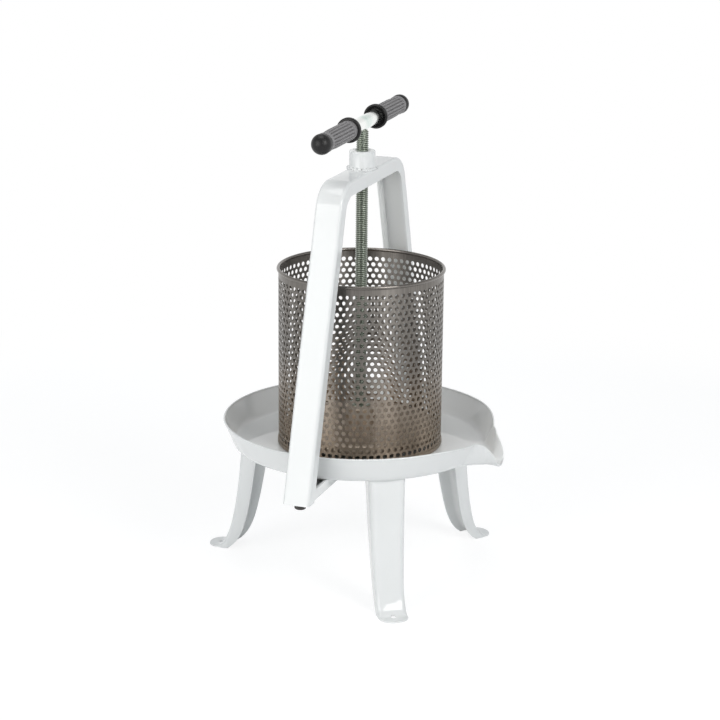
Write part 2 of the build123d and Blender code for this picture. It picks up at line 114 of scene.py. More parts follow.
# %% [markdown]
# ## Nodes by code
# Shaders and Geometry Nodes are trees of nodes, and could be drawn by hand in Blender's editor. Here
# `wire` adds a node, sets its options and fills its inputs, with a link where a value comes from another
# node. A `Num` is a number that a node gives. Sums with it add Math nodes, so a formula reads as one.

# %% Node helpers


class Num:
    """A number that a node gives; sums with it add Math nodes to its tree."""

    def __init__(self, source):
        self.tree = source.id_data
        self.socket = source.outputs[0] if isinstance(source, bpy.types.Node) else source


def add_sum(symbol, operation):
    """Give Num one of Python's sums, with the Num on either side."""
    setattr(Num, f"__{symbol}__", lambda num, other: calc(operation, num, other))
    setattr(Num, f"__r{symbol}__", lambda num, other: calc(operation, other, num))


add_sum("add", "ADD")
add_sum("sub", "SUBTRACT")
add_sum("mul", "MULTIPLY")
add_sum("truediv", "DIVIDE")
add_sum("mod", "MODULO")


def fill(tree, socket, value):
    """Link an input to a Num, a node or a socket, or give it a plain value."""
    if isinstance(value, Num):
        value = value.socket
    elif isinstance(value, bpy.types.Node):
        value = value.outputs[0]
    if isinstance(value, bpy.types.NodeSocket):
        tree.links.new(value, socket)
    elif socket.type == "RGBA":
        socket.default_value = (*value, 1)
    else:
        socket.default_value = value


def wire(tree, kind, inputs=None, **options):
    """Add a node; inputs go by name or number, and a list makes several links."""
    made = tree.nodes.new(kind)
    for key, value in options.items():
        setattr(made, key, value)
    for key, value in (inputs or {}).items():
        for one in value if isinstance(value, list) else [value]:
            fill(tree, made.inputs[key], one)
    return made


def calc(operation, *values):
    """A number worked out from others; at least one is a Num."""
    tree = next(value.tree for value in values if isinstance(value, Num))
    return Num(wire(tree, "ShaderNodeMath", dict(enumerate(values)), operation=operation))


def between(share, low, high, from_low=0.0, from_high=1.0):
    """A number moved from one range to another and held inside it."""
    ranges = {0: share, 1: from_low, 2: from_high, 3: low, 4: high}
    return Num(wire(share.tree, "ShaderNodeMapRange", ranges))


def parts_of(tree, vector):
    """The x, y and z of a vector."""
    return [Num(part) for part in wire(tree, "ShaderNodeSeparateXYZ", {0: vector}).outputs]


def joined(x, y, z):
    """A vector from three numbers, of which x is a Num."""
    return wire(x.tree, "ShaderNodeCombineXYZ", {0: x, 1: y, 2: z})


# %% [markdown]
# ## The white room
# The press stands in a white studio. A picture of a studio could light it, but with a few nodes each
# value can be read. The camera sees plain white. In reflections the ceiling and the front of the room
# are darker, so gloss and bare metal show soft bands. The room's own light is weak and a little blue.

# %% World
WHITE = (1, 1, 1)
CEILING_RANGE = (0.2, 0.7)
CEILING_TONE = 0.45
FRONT_RANGE = (0.35, 0.95)
FRONT_TONE = 0.55
ROOM_COLOUR = (0.81, 0.91, 1.0)
ROOM_STRENGTH = 0.42


def empty_tree(owner):
    """The emptied node tree of a world or a material."""
    owner.use_nodes = True
    owner.node_tree.nodes.clear()
    return owner.node_tree


def rays(tree, kind):
    """One for rays of a kind, zero for the others."""
    return Num(wire(tree, "ShaderNodeLightPath").outputs[f"Is {kind} Ray"])


def seen_rays(tree):
    """One for rays that are seen: directly, in a mirror or through glass."""
    bent = calc("MAXIMUM", rays(tree, "Glossy"), rays(tree, "Transmission"))
    return calc("MAXIMUM", rays(tree, "Camera"), bent)


world = bpy.data.worlds.new("studio")
scene.world = world
sky = empty_tree(world)
look_x, look_y, look_z = parts_of(sky, wire(sky, "ShaderNodeTexCoord").outputs["Generated"])
toward_front = look_x * sin(CAMERA_AZIMUTH) - look_y * cos(CAMERA_AZIMUTH)
ceiling = between(look_z, 1.0, CEILING_TONE, *CEILING_RANGE)
front = between(toward_front, 1.0, FRONT_TONE, *FRONT_RANGE)
mirrored = calc("MAXIMUM", ceiling * front, 1.0 - rays(sky, "Glossy"))
room = wire(sky, "ShaderNodeBackground", {"Color": ROOM_COLOUR, "Strength": ceiling * ROOM_STRENGTH})
white = wire(sky, "ShaderNodeBackground", {"Color": WHITE, "Strength": mirrored})
shown = wire(sky, "ShaderNodeMixShader", {0: seen_rays(sky), 1: room, 2: white})
wire(sky, "ShaderNodeOutputWorld", {"Surface": shown})
print("room strength", ROOM_STRENGTH)

# %% [markdown]
# ## The floor
# The press stands on white paper. A plain matt sheet would turn grey towards the back and show a horizon.
# So the paper is mostly a white glow: near the press one fifth of it is matt and takes the soft shadow,
# and further out only the glow is left. It is for seen rays alone, so it lights nothing.

# %% Floor
FLOOR_SIZE = 40.0
FADE_START = 0.22
FADE_END = 1.3
LEAST_GLOW = 0.8
# The matt share is lifted where it is seen, so that the lit paper is as white as the glow.
PAPER_TONE = 0.9
PAPER_LIFT = 0.6

floor_mesh = bpy.data.meshes.new("floor")
edge = FLOOR_SIZE / 2
sheet_plan = [(-edge, -edge, 0), (edge, -edge, 0), (edge, edge, 0), (-edge, edge, 0)]
floor_mesh.from_pydata(sheet_plan, [], [(0, 1, 2, 3)])
floor = put("floor", floor_mesh)

paper = bpy.data.materials.new("floor_paper")
sheet = empty_tree(paper)
place = wire(sheet, "ShaderNodeTexCoord").outputs["Object"]
reach = wire(sheet, "ShaderNodeVectorMath", {0: place}, operation="LENGTH").outputs["Value"]
fade_range = {0: reach, 1: FADE_START, 2: FADE_END}
fade = Num(wire(sheet, "ShaderNodeMapRange", fade_range, interpolation_type="SMOOTHSTEP"))
seen = seen_rays(sheet)
glow_share = seen * calc("MAXIMUM", fade, LEAST_GLOW)
tone = seen * PAPER_LIFT + PAPER_TONE
matt = wire(sheet, "ShaderNodeBsdfDiffuse", {"Color": joined(tone, tone, tone)})
glow = wire(sheet, "ShaderNodeEmission", {"Color": WHITE, "Strength": 1.0})
ground = wire(sheet, "ShaderNodeMixShader", {0: glow_share, 1: matt, 2: glow})
wire(sheet, "ShaderNodeOutputMaterial", {"Surface": ground})
floor_mesh.materials.append(paper)
print("floor fades from", FADE_START, "to", FADE_END, "m")

# %% [markdown]
# ## The lamps
# A large soft box stands in front on the left, a higher one on the right, a weak one behind on the left
# and a small one overhead. Area lamps give a studio's soft shadows, which point lamps could not. The one
# behind is left out of reflections, where its square would show.

# %% Soft boxes
HEART = Vector((0.0, 0.0, 0.3))


def soft_box(name, place, size, watts, colour):
    """A soft lamp that looks at the middle of the press."""
    data = bpy.data.lights.new(name, "AREA")
    data.shape = "RECTANGLE"
    data.size, data.size_y = size
    data.energy = watts
    data.color = colour
    lamp = put(name, data)
    lamp.location = place
    lamp.rotation_mode = "QUATERNION"
    lamp.rotation_quaternion = (HEART - Vector(place)).to_track_quat("-Z", "Y")
    return lamp


soft_box("key_box", place=(-1.0, -2.42, 1.25), size=(1.7, 2.0), watts=31, colour=(1.0, 0.985, 0.96))
soft_box("fill_box", place=(1.7, -1.05, 1.6), size=(0.9, 1.25), watts=24, colour=(1.0, 0.99, 0.975))
back_box = soft_box("back_box", place=(-1.2, 2.0, 0.75), size=(1.2, 1.2), watts=12, colour=(0.97, 0.99, 1.0))
back_box.visible_glossy = False
soft_box("top_box", place=(-0.15, 0.0, 2.2), size=(0.9, 0.9), watts=7.5, colour=WHITE)
scene.view_settings.view_transform = "Standard"

# %% [markdown]
# ## Finishes
# Each finish is a Principled shader fed by procedural textures on Object coordinates, which are metres
# in the press's own frame. A noise under a Bump node is the skin of a paint or a moulding, and a slower
# one moves colour and gloss a little. Pictures could do the same, but need a map for each piece.

# %% Finish helper


class Finish:
    """A Principled material whose patterns lie on Object coordinates."""

    def __init__(self, name, metallic=0.0):
        self.material = bpy.data.materials.new(name)
        self.tree = empty_tree(self.material)
        self.shader = wire(self.tree, "ShaderNodeBsdfPrincipled", {"Metallic": metallic})
        wire(self.tree, "ShaderNodeOutputMaterial", {"Surface": self.shader})
        self.place = wire(self.tree, "ShaderNodeTexCoord").outputs["Object"]
        print("finish", name)

    def noise(self, scale, detail=3.0, place=None):
        """Noise from 0 to 1; on the plain place the scale is in spots to the metre."""
        pattern = {"Vector": place or self.place, "Scale": scale, "Detail": detail}
        return Num(wire(self.tree, "ShaderNodeTexNoise", pattern))

    def blend(self, share, first, second):
        """A colour between two colours."""
        colours = {0: share, 6: first, 7: second}
        return wire(self.tree, "ShaderNodeMix", colours, data_type="RGBA").outputs[2]

    def feed(self, **inputs):
        """Fill inputs of the shader; an underscore stands for a space."""
        for name, value in inputs.items():
            fill(self.tree, self.shader.inputs[name.replace("_", " ")], value)

    def colour(self, share, first, second):
        self.feed(Base_Color=self.blend(share, first, second))

    def rough(self, share, low, high):
        self.feed(Roughness=between(share, low, high))

    def bump(self, height, depth, strength=1.0):
        """Relief of a depth in metres."""
        relief = {"Height": height, "Distance": depth, "Strength": strength}
        self.feed(Normal=wire(self.tree, "ShaderNodeBump", relief))

    def from_axis(self):
        """Distance from the screw axis, angle round it and height."""
        centring = {0: self.place, 1: tuple(axis)}
        x, y, z = parts_of(self.tree, wire(self.tree, "ShaderNodeVectorMath", centring, operation="SUBTRACT"))
        return calc("POWER", x * x + y * y, 0.5), calc("ARCTAN2", y, x), z


# %% [markdown]
# ## White enamel
# Pan, legs, crossbar, arch and nut have a thick, glossy white coat. One flat white would look like
# plastic, because real paint sags a little and dries with a faint skin that breaks up reflections. A
# slow and a fine noise give sag and skin.

# %% White enamel
enamel = Finish("white_enamel")
enamel.colour(enamel.noise(11.0), (0.82, 0.83, 0.822), (0.87, 0.878, 0.872))
enamel.rough(enamel.noise(55.0), 0.025, 0.075)
sag = enamel.noise(16.0, detail=1.0) * 0.25
paint_skin = enamel.noise(190.0, detail=2.0) * 0.02
enamel.bump(sag + paint_skin, 1.0 * MM)

# %% [markdown]
# ## Metal of the basket
# The wall is bare rolled steel with faint upright streaks, warmer towards its foot. The streaks are a
# noise that is fast round the wall and slow up it. Light spreads sideways on such a grain, so the
# highlight is drawn out along a tangent that goes round.

# %% Basket metal
WARM_BELOW, COOL_ABOVE = 200 * MM, 300 * MM

steel = Finish("basket_steel", metallic=1.0)
distance, angle, height = steel.from_axis()
streak = steel.noise(3.0, 6.0, joined(angle * 26.0, distance, height * 5.0))
patch = steel.noise(14.0, 4.0)
tone = between(streak * 0.6 + patch * 0.4, 0.0, 1.0, 0.3, 0.7)
cool = steel.blend(tone, (0.13, 0.121, 0.111), (0.265, 0.248, 0.229))
warm = steel.blend(tone, (0.22, 0.174, 0.132), (0.40, 0.33, 0.262))
low_down = between(height, 1.0, 0.0, WARM_BELOW, COOL_ABOVE)
steel.colour(low_down, cool, warm)
steel.rough(streak, 0.34, 0.46)
steel.feed(Anisotropic=0.8, Anisotropic_Rotation=0.25)
steel.feed(Tangent=wire(steel.tree, "ShaderNodeTangent", direction_type="RADIAL", axis="Z"))
steel.bump(streak, 0.05 * MM, 0.4)

# %% [markdown]
# ## Metal of the bead
# The bead round the top of the basket is the same steel, but smoother, with lines along its length that
# are too fine to model. A noise makes them: very fast outwards and upwards, slow round the axis.

# %% Bead metal
LINES_ACROSS = 2200.0

bead_steel = Finish("bead_steel", metallic=1.0)
distance, angle, height = bead_steel.from_axis()
lines = bead_steel.noise(1.0, place=joined(distance * LINES_ACROSS, angle * 3.0, height * LINES_ACROSS))
bead_steel.colour(lines, (0.14, 0.129, 0.118), (0.26, 0.243, 0.226))
bead_steel.rough(lines, 0.18, 0.3)
bead_steel.bump(lines, 0.03 * MM, 0.3)

# %% [markdown]
# ## Metal of the screw
# The screw is plated. Its crests are rubbed bright and its grooves stay dull and a little green. The
# distance from the axis tells crest from groove, so no painting by hand is needed.

# %% Screw metal
GROOVE_RADIUS, CREST_RADIUS = 7.0 * MM, 8.0 * MM

zinc = Finish("screw_zinc", metallic=1.0)
distance = zinc.from_axis()[0]
mottle = zinc.noise(120.0, 4.0)
dull = zinc.blend(mottle, (0.155, 0.172, 0.143), (0.225, 0.25, 0.21))
bright = zinc.blend(mottle, (0.41, 0.45, 0.395), (0.55, 0.595, 0.53))
on_crest = between(distance, 0.0, 1.0, GROOVE_RADIUS, CREST_RADIUS)
zinc.colour(on_crest, dull, bright)
zinc.rough(mottle, 0.24, 0.42)

# %% [markdown]
# ## Metal of the platen
# The finish of the platen, which presses the fruit, is a guess: a turned steel plate with fine rings.
# Grooves in the mesh would need very many faces, so a noise follows the distance from the axis.

# %% Platen metal
platen = Finish("platen_steel", metallic=0.7)
distance, angle, height = platen.from_axis()
rings = platen.noise(1.0, 4.0, joined(distance * 900.0, angle * 0.6, height))
platen.colour(rings, (0.42, 0.345, 0.275), (0.58, 0.49, 0.40))
platen.rough(rings, 0.26, 0.44)
platen.bump(rings, 0.04 * MM, 0.4)

# %% [markdown]
# ## Plating of the bar
# The handle bar is bright plated and mirrors the black flanges. Close to the screw it is discoloured by
# the heat of the weld. A second material would end in a hard line, so a greener tone comes in by patches.

# %% Bar plating
WELD_EDGE, WELD_REACH = 8 * MM, 20 * MM

plating = Finish("bar_bright", metallic=1.0)
distance = plating.from_axis()[0]
cloud = plating.noise(90.0, 4.0)
heated = between(distance, 1.0, 0.0, WELD_EDGE, WELD_REACH) * cloud
plating.colour(heated, (0.94, 0.955, 0.93), (0.52, 0.69, 0.63))
plating.rough(cloud, 0.12, 0.26)
plating.bump(plating.noise(300.0, 2.0), 0.1 * MM, 0.4)

# %% [markdown]
# ## Grips and bolts
# The sleeves are a soft grey moulding. Their grooves are painted a darker grey, as painted shade in the
# hollows. Two materials would meet in steps, so the finish reads the grooves from an attribute of the
# mesh. Flanges and caps are black and a little smoother, and the bolts are dark steel.

# %% Grip and bolt finishes
grey = Finish("grip_grey")
rib = grey.blend(grey.noise(45.0), (0.215, 0.207, 0.209), (0.27, 0.262, 0.264))
groove = wire(grey.tree, "ShaderNodeAttribute", attribute_name="groove").outputs["Fac"]
# Painted shade: the grooves get a darker grey than the ribs.
grey.colour(groove, rib, (0.115, 0.108, 0.11))
speckle = grey.noise(700.0, 2.0)
grey.rough(speckle, 0.46, 0.66)
grey.bump(speckle, 0.1 * MM, 0.5)

black = Finish("grip_black")
black.colour(black.noise(60.0), (0.006, 0.006, 0.0065), (0.012, 0.0115, 0.0115))
black.feed(Specular_IOR_Level=0.34)
speckle = black.noise(520.0, 2.0)
black.rough(speckle, 0.34, 0.44)
black.bump(speckle, 0.08 * MM, 0.5)

dark = Finish("bolt_dark", metallic=1.0)
mottle = dark.noise(200.0, 4.0)
dark.colour(mottle, (0.045, 0.043, 0.042), (0.11, 0.105, 0.10))
dark.rough(mottle, 0.3, 0.5)
dark.bump(mottle, 0.05 * MM, 0.4)

# %% [markdown]
# ## Finishes for the solids
# The solids whose shape is right keep their meshes. Each comes with a plain material named for its slot,
# and gets that slot's finish instead. The bead has the basket's slot, but its own finish.

# %% Dress the solids
FINISH_OF_SLOT = dict(
    white_paint=enamel, basket_metal=steel, screw_metal=zinc, platen_metal=platen,
    bar_paint=plating, grip_grey=grey, grip_black=black, bolt_metal=dark,
)
for node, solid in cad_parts.items():
    for slot in solid.material_slots:
        finish = bead_steel if node == "basket_rim" else FINISH_OF_SLOT[slot.material.name]
        slot.material = finish.material
print("dressed", len(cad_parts), "solids")

# %% [markdown]
# ## Helpers for Geometry Nodes
# `new_tree` starts a tree with a named input for each size, and `grow` runs it and keeps the result as a
# plain mesh. `clean` welds the seams of any mesh and turns its faces outwards. Both print what they made.

# %% Geometry Nodes helpers
SEAM = 1e-6
SLIVER = 1e-7
CENTRE_LINE = Vector((0, 0, 0))


def new_tree(name, sizes):
    """A tree with a named input for each size, and those inputs as Nums."""
    tree = bpy.data.node_groups.new(name, "GeometryNodeTree")
    tree.interface.new_socket("Geometry", in_out="OUTPUT", socket_type="NodeSocketGeometry")
    for label, value in sizes.items():
        kind = "NodeSocketInt" if isinstance(value, int) else "NodeSocketFloat"
        tree.interface.new_socket(label, in_out="INPUT", socket_type=kind)
    inputs = tree.nodes.new("NodeGroupInput").outputs
    return tree, {label: Num(inputs[label]) for label in sizes}


def result_of(thing):
    """The mesh of an object with its modifiers applied; the object itself goes."""
    mesh = bpy.data.meshes.new_from_object(thing.evaluated_get(bpy.context.evaluated_depsgraph_get()))
    thing.modifiers.clear()
    bpy.data.objects.remove(thing)
    return mesh


def grow(name, tree, sizes, result, finish):
    """End the tree in Realize Instances and Set Material, run it and keep the result as a mesh."""
    real = wire(tree, "GeometryNodeRealizeInstances", {0: result})
    painted = wire(tree, "GeometryNodeSetMaterial", {"Geometry": real, "Material": finish.material})
    wire(tree, "NodeGroupOutput", {0: painted})
    seed = put(name + "_seed", bpy.data.meshes.new(name + "_seed"))
    modifier = seed.modifiers.new("grow", "NODES")
    modifier.node_group = tree
    for socket in tree.interface.items_tree:
        if socket.in_out == "INPUT":
            modifier[socket.identifier] = sizes[socket.name]
    mesh = result_of(seed)
    mesh.name = name
    print("grown", name, len(mesh.polygons), "faces")
    return mesh


def grid(tree, width, height, across, up):
    """Flat grid about the origin, with so many points across and up."""
    sizes = {"Size X": width, "Size Y": height, "Vertices X": across, "Vertices Y": up}
    return wire(tree, "GeometryNodeMeshGrid", sizes)


def here(tree):
    """The x and y of the point that a field is worked out for."""
    return parts_of(tree, wire(tree, "GeometryNodeInputPosition"))[:2]


def moved(tree, geometry, position):
    return wire(tree, "GeometryNodeSetPosition", {"Geometry": geometry, "Position": position})


def welded(tree, geometry, distance=1e-5):
    return wire(tree, "GeometryNodeMergeByDistance", {"Geometry": geometry, "Distance": distance})


def round_line(angle, radius, height, centre=CENTRE_LINE):
    """Point at an angle and a radius round an upright line."""
    return joined(calc("COSINE", angle) * radius + centre.x, calc("SINE", angle) * radius + centre.y, height)


@contextmanager
def opened(mesh):
    """The mesh opened for changes, with its double points welded."""
    form = bmesh.new()
    form.from_mesh(mesh)
    bmesh.ops.remove_doubles(form, verts=form.verts, dist=SEAM)
    yield form
    form.to_mesh(mesh)
    form.free()


def smooth(mesh, angle):
    """Smooth shading, with sharp edges where faces meet at more than an angle in degrees."""
    mesh.shade_smooth()
    mesh.set_sharp_from_angle(angle=radians(angle))
    return mesh


def clean(mesh, angle=38.0):
    """Weld the seams, turn the faces outwards and shade the mesh smooth."""
    with opened(mesh) as form:
        bmesh.ops.dissolve_degenerate(form, edges=form.edges, dist=SLIVER)
        bmesh.ops.recalc_face_normals(form, faces=form.faces)
    print("clean", mesh.name, len(mesh.polygons), "faces")
    return smooth(mesh, angle)


# %% [markdown]
# ## The perforated basket wall
# The real wall is a flat sheet, punched with staggered round holes and then rolled, and we go the same
# way. A cell is a ring of faces between a round hole and a hexagon, and hexagons fill the flat sheet
# without gaps. Two toothed strips close the plain bands below and above. A Boolean would cut the same
# holes, but far slower and with untidy faces.

# %% Wall sizes
wall_low, wall_high = heights("basket_wall")
wall_sizes = {
    "Radius": 107 * MM,
    "Columns": 75,
    "Rows": 28,
    "Hole Radius": 3.0 * MM,
    "First Row": wall_low + 10.75 * MM,
    "Foot": wall_low,
    "Top": wall_high,
}
tree, size = new_tree("perforated_wall", wall_sizes)
around = size["Radius"] * tau
half = around * 0.5 / size["Columns"]
row_pitch = half * sqrt(3)
stack = row_pitch * (size["Rows"] - 1)
print("wall from", round(wall_low, 5), "to", round(wall_high, 5))

# %% Rows of cells
HOLE_SIDES = 12

hole = wire(tree, "GeometryNodeMeshCircle", {"Vertices": HOLE_SIDES, "Radius": size["Hole Radius"]})
skirt = wire(tree, "GeometryNodeExtrudeMesh", {"Mesh": hole, "Offset Scale": 0.0}, mode="EDGES").outputs
x, y = here(tree)
turn = calc("ARCTAN2", y, x)
sixth = calc("WRAP", turn, radians(30), radians(-30))
hexagon = round_line(turn, half / calc("COSINE", sixth), 0.0)
spread = {"Geometry": skirt["Mesh"], "Selection": skirt["Top"], "Position": hexagon}
cell = wire(tree, "GeometryNodeSetPosition", spread)

seats = grid(tree, around - half * 2, stack, size["Columns"], size["Rows"])
x, y = here(tree)
from_first = y + stack * 0.5
row = calc("ROUND", from_first / row_pitch)
staggered = moved(tree, seats, joined(x + row % 2 * half, from_first + size["First Row"], 0.0))
cells = wire(tree, "GeometryNodeInstanceOnPoints", {"Points": staggered, "Instance": cell})
cells = wire(tree, "GeometryNodeRealizeInstances", {0: cells})
print("holes", wall_sizes["Columns"] * wall_sizes["Rows"])

# %% Plain bands and rolling
CELL_WELD = 2e-5


def plain_band(toothed_row, plain_edge, way):
    """Strip with one straight edge and one that fits the hexagons of a row."""
    strip = grid(tree, around, 2.0, size["Columns"] * 4 + 1, 2)
    x, y = here(tree)
    column = x / half + size["Columns"]
    tooth = (calc("PINGPONG", column, 1) + 1) * (half / sqrt(3))
    toothed = tooth * way + (row_pitch * toothed_row + size["First Row"])
    upper = calc("GREATER_THAN", y, 0)
    plain = upper if way > 0 else 1 - upper
    height = toothed * (1 - plain) + plain_edge * plain
    return moved(tree, strip, joined(x + toothed_row % 2 * half, height, 0.0))


lower_band = plain_band(0, size["Foot"], -1)
upper_band = plain_band(size["Rows"] - 1, size["Top"], 1)
flat = wire(tree, "GeometryNodeJoinGeometry", {0: [cells, lower_band, upper_band]})
x, y = here(tree)
rolled = moved(tree, flat, round_line(x / size["Radius"], size["Radius"], y, axis))
wall_mesh = grow("basket_sheet", tree, wall_sizes, welded(tree, rolled, CELL_WELD), steel)
clean(wall_mesh, angle=180)

# %% [markdown]
# ## Thickness and hem
# The sheet gets its thickness inwards by a Solidify modifier, and a folded hem goes round its foot. The
# hem is a plain ring, so `turned` turns its section about the axis. `skin` stretches a mesh over loops
# of points, as skin over ribs, and `stand_in` gives a mesh its finish and its place on the press.

# %% Mesh helpers


def skin(name, loops, ring=False):
    """Mesh over closed loops of points, with closed ends or with its ends joined in a ring."""
    count = len(loops[0])
    faces = []
    for index in range(len(loops) if ring else len(loops) - 1):
        near, far = index * count, (index + 1) % len(loops) * count
        for one in range(count):
            two = (one + 1) % count
            faces.append((near + one, near + two, far + two, far + one))
    if not ring:
        last = (len(loops) - 1) * count
        faces += [tuple(range(count)), tuple(range(last, last + count))]
    mesh = bpy.data.meshes.new(name)
    mesh.from_pydata([tuple(point) for loop in loops for point in loop], [], faces)
    return mesh


def level_loop(radius_at, height, steps, centre):
    """Points round an upright line; radius_at gives the radius at an angle, in millimetres."""
    loop = []
    for step in range(steps):
        angle = tau * step / steps
        radius = radius_at(angle)
        loop.append(centre + Vector((cos(angle) * radius, sin(angle) * radius, height)) * MM)
    return loop


def turned(name, profile, steps, ring=False, centre=axis):
    """Mesh turned about an upright line from (radius, height) points in millimetres."""
    loops = [level_loop(lambda angle: radius, height, steps, centre) for radius, height in profile]
    return skin(name, loops, ring)


def merged(name, *meshes):
    """One mesh from several."""
    form = bmesh.new()
    for mesh in meshes:
        form.from_mesh(mesh)
    whole = bpy.data.meshes.new(name)
    form.to_mesh(whole)
    form.free()
    return whole


def stand_in(name, mesh, body, slot, *solids, finish=None):
    """Finish a piece that moves with a body and stands for some of the solids."""
    piece = put(name, mesh)
    mesh.materials.clear()
    mesh.materials.append((finish or FINISH_OF_SLOT[slot]).material)
    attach(piece, body)
    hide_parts(*solids)
    print(name, "faces", len(mesh.polygons))


# %% Thickness and hem
WALL_SHEET = 1.0 * MM
HEM_INSIDE, HEM_OUTSIDE = 106.6, 108.0

holder = put("sheet_holder", wall_mesh)
thick = holder.modifiers.new("thickness", "SOLIDIFY")
thick.thickness = WALL_SHEET
thick.offset = -1.0
foot = wall_low / MM
hem_profile = [
    (HEM_INSIDE, foot), (HEM_OUTSIDE - 0.3, foot), (HEM_OUTSIDE, foot + 0.4),
    (HEM_OUTSIDE, foot + 4.4), (HEM_OUTSIDE - 0.3, foot + 5.0), (HEM_INSIDE, foot + 5.0),
]
hem_mesh = turned("hem", hem_profile, steps=150, ring=True)
wall_mesh = clean(merged("basket_wall_sheet", result_of(holder), hem_mesh))
stand_in("perforated_wall", wall_mesh, "basket", "basket_metal", "basket_wall")

# %% [markdown]
# ## The screw thread
# The thread is one long ramp round a rod, 2.5 mm up for each turn. A section swept along a helix would
# twist. Instead a grid is wound up: its long side goes round and round, its short side climbs over one
# tooth. Neighbouring turns share their edges, so after merging it is one skin. The tooth runs out to
# nothing at both ends, as a cut thread does.

# %% Thread
TOOTH_POINTS = 9
RUN_OUT = 0.75
FLANK_START, FLANK_END = 0.06, 0.42

thread_low = 224.0 * MM
thread_high = bar_height - 6.0 * MM
thread_sizes = {
    "Low": thread_low,
    "High": thread_high,
    "Lead": 2.5 * MM,
    "Root Radius": 6.75 * MM,
    "Crest Radius": CREST_RADIUS,
    "Steps": 24,
}
tree, size = new_tree("screw_thread", thread_sizes)
turns = calc("FLOOR", (size["High"] - size["Low"]) / size["Lead"] - 1)
ramp = grid(tree, 1.0, 1.0, turns * size["Steps"] + 1, TOOTH_POINTS)
x, y = here(tree)
turned_by = (x + 0.5) * turns
tooth = between(0.5 - calc("ABSOLUTE", y), 0.0, 1.0, FLANK_START, FLANK_END)
run_in = between(turned_by, 0.0, 1.0, 0.0, RUN_OUT)
run_out = between(turns - turned_by, 0.0, 1.0, 0.0, RUN_OUT)
tooth_height = size["Crest Radius"] - size["Root Radius"]
radius = tooth * (run_in * run_out) * tooth_height + size["Root Radius"]
height = (turned_by + (y + 0.5)) * size["Lead"] + size["Low"]
wound = moved(tree, ramp, round_line(turned_by * tau, radius, height, axis))
thread_mesh = grow("thread", tree, thread_sizes, welded(tree, wound), zinc)

# %% [markdown]
# The wound skin is open at both ends, and a fan of faces to the axis closes each. Below the thread the
# screw ends in a turned journal, which runs in the platen's socket and has a groove for the ring.

# %% Close the thread and add the journal
SCREW_SMOOTH = 60
JOURNAL, RING_GROOVE, COLLAR = 6.0, 5.2, 6.9
COLLAR_LOW, COLLAR_HIGH = 223.6, 226.0


def close_ends(mesh):
    """Close each open loop of edges with a fan of faces to the screw axis."""
    split = (thread_low + thread_high) / 2
    with opened(mesh) as form:
        open_edges = [edge for edge in form.edges if edge.is_boundary]
        for end in (-1, 1):
            edges = [edge for edge in open_edges if (edge.verts[0].co.z - split) * end > 0]
            level = sum(edge.verts[0].co.z for edge in edges) / len(edges)
            hub = form.verts.new((axis.x, axis.y, level))
            for edge in edges:
                form.faces.new((*edge.verts, hub))
    return mesh


foot = heights("screw")[0] / MM
journal_profile = [
    (0.0, foot), (JOURNAL - 0.6, foot), (JOURNAL, foot + 0.6), (JOURNAL, foot + 1.5),
    (RING_GROOVE, foot + 1.5), (RING_GROOVE, foot + 2.7), (JOURNAL, foot + 2.7),
    (JOURNAL, COLLAR_LOW), (COLLAR, COLLAR_LOW), (COLLAR, COLLAR_HIGH), (0.0, COLLAR_HIGH),
]
thread_mesh = clean(close_ends(thread_mesh), SCREW_SMOOTH)
journal_mesh = clean(turned("journal", journal_profile, steps=48))
screw_mesh = smooth(merged("screw_rod", thread_mesh, journal_mesh), SCREW_SMOOTH)
stand_in("threaded_screw", screw_mesh, "screw", "screw_metal", "screw")

# %% [markdown]
# ## The grip sleeves
# Each grip is a soft grey sleeve between a black flange and a black ball-shaped end. The sleeve has
# lengthwise grooves that stop short of its ends, a neck and a flared end. Cut grooves would have hard
# edges, so a grid is wrapped round the bar and each of its points is pulled in by a pattern.

# %% Sleeve
SLEEVE_ROWS = 71
POINTS_TO_A_GROOVE = 8
NECK, FLARE, TIP = -0.9 * MM, 0.8 * MM, -0.5 * MM

sleeve_sizes = {
    "Start": 57.6 * MM,
    "Length": 92.8 * MM,
    "Radius": 12.5 * MM,
    "Grooves": 18,
    "Groove Depth": 1.0 * MM,
}
tree, size = new_tree("ribbed_sleeve", sleeve_sizes)
wrap = grid(tree, 1.0, 1.0, size["Grooves"] * POINTS_TO_A_GROOVE + 1, SLEEVE_ROWS)
x, y = here(tree)
angle = x * tau
along = y + 0.5
groove = between(calc("COSINE", angle * size["Grooves"]), 0.0, 1.0, 0.15, 0.75)
ends = between(along, 0.0, 1.0, 0.10, 0.13) * between(along, 1.0, 0.0, 0.90, 0.93)
inset = groove * ends
neck = between(along, 0.0, NECK, 0.66, 0.86)
flare = between(along, 0.0, FLARE, 0.88, 0.96)
tip = calc("POWER", between(along, 0.0, 1.0, 0.965, 1.0), 2.0) * TIP
radius = size["Radius"] + (neck + flare + tip) - inset * size["Groove Depth"]
# Painted shade: the groove mask is stored on the mesh, and the finish paints the grooves darker with it.
groove_shade_mark = {"Geometry": wrap, "Name": "groove", "Value": inset}
marked = wire(tree, "GeometryNodeStoreNamedAttribute", groove_shade_mark)
wrapped = moved(tree, marked, round_line(angle, radius, along * size["Length"] + size["Start"]))
sleeve_mesh = grow("sleeve", tree, sleeve_sizes, welded(tree, wrapped), grey)

# %% Close the sleeve
SLEEVE_BORE = 9.1 * MM


def close_sleeve(mesh):
    """Close both ends of the sleeve inwards to its bore."""
    with opened(mesh) as form:
        outer = [edge for edge in form.edges if edge.is_boundary]
        made = bmesh.ops.extrude_edge_only(form, edges=outer)["geom"]
        for vert in [item for item in made if isinstance(item, bmesh.types.BMVert)]:
            reach = hypot(vert.co.x, vert.co.y)
            vert.co.x *= SLEEVE_BORE / reach
            vert.co.y *= SLEEVE_BORE / reach
        inner = [item for item in made if isinstance(item, bmesh.types.BMEdge)]
        bmesh.ops.bridge_loops(form, edges=inner)
    return mesh


clean(close_sleeve(sleeve_mesh), angle=50)

